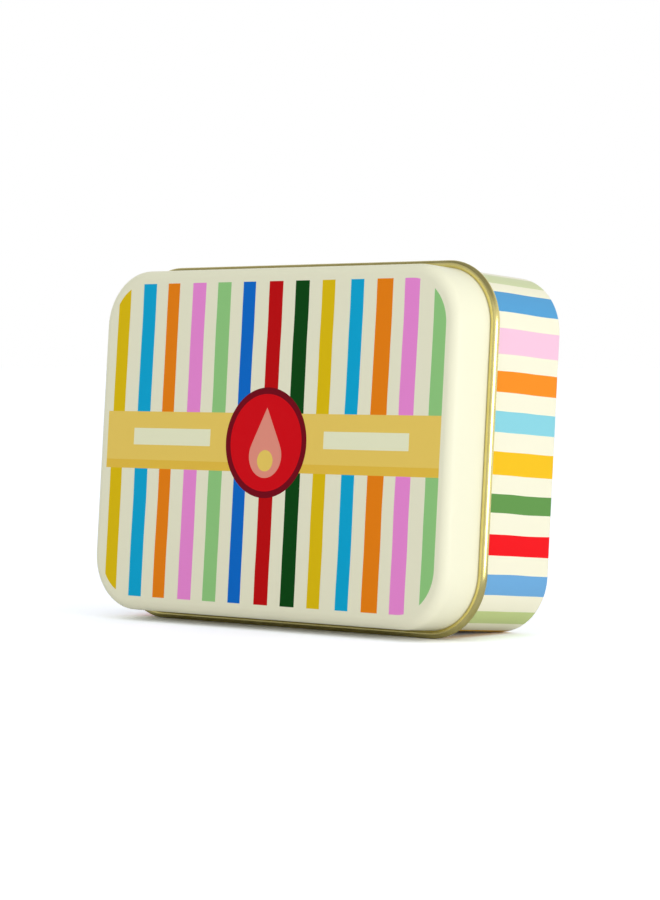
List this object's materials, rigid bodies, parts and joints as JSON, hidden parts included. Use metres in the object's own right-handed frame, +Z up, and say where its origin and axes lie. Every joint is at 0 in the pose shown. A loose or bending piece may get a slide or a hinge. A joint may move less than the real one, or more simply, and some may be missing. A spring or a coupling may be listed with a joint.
{
  "type": "long match tin",
  "caption": "Rounded rectangular tinplate box with a lift-off slip lid and rolled rim, holding long wooden matches, standing on its long side.",
  "frame": {"origin": "on the ground, under the middle of the outer box", "axes": "+Z up, +X along the tin's length, the lid faces -Y and its top leans back towards +Y"},
  "size_m": [0.1218, 0.0452, 0.0895],
  "materials": {
    "lid_print": "satin printed tinplate",
    "body_print": "satin printed tinplate",
    "striker": "rough abrasive coat",
    "match_wood": "raw, with a dipped head"
  },
  "bodies": {
    "tin": {"tin_body": "body_print", "striker_strip": "striker", "match_01": "match_wood", "match_02": "match_wood", "match_03": "match_wood", "match_04": "match_wood", "match_05": "match_wood", "match_06": "match_wood", "match_07": "match_wood", "match_08": "match_wood", "match_09": "match_wood", "match_10": "match_wood", "match_11": "match_wood", "match_12": "match_wood", "match_13": "match_wood", "match_14": "match_wood", "match_15": "match_wood", "match_16": "match_wood", "match_17": "match_wood", "match_18": "match_wood", "match_19": "match_wood", "match_20": "match_wood", "match_21": "match_wood", "match_22": "match_wood", "match_23": "match_wood", "match_24": "match_wood", "match_25": "match_wood", "match_26": "match_wood", "match_27": "match_wood", "match_28": "match_wood", "match_29": "match_wood", "match_30": "match_wood", "match_31": "match_wood", "match_32": "match_wood", "match_33": "match_wood", "match_34": "match_wood", "match_35": "match_wood", "match_36": "match_wood", "match_37": "match_wood", "match_38": "match_wood", "match_39": "match_wood", "match_40": "match_wood", "match_41": "match_wood", "match_42": "match_wood", "match_43": "match_wood", "match_44": "match_wood", "match_45": "match_wood"},
    "lid": {"lid": "lid_print"}
  },
  "joints": [
    {"name": "lid_lift", "type": "slide", "parent": "tin", "child": "lid", "axis": [0, -0.9971, 0.0758], "range_m": [0, 0.05]}
  ]
}
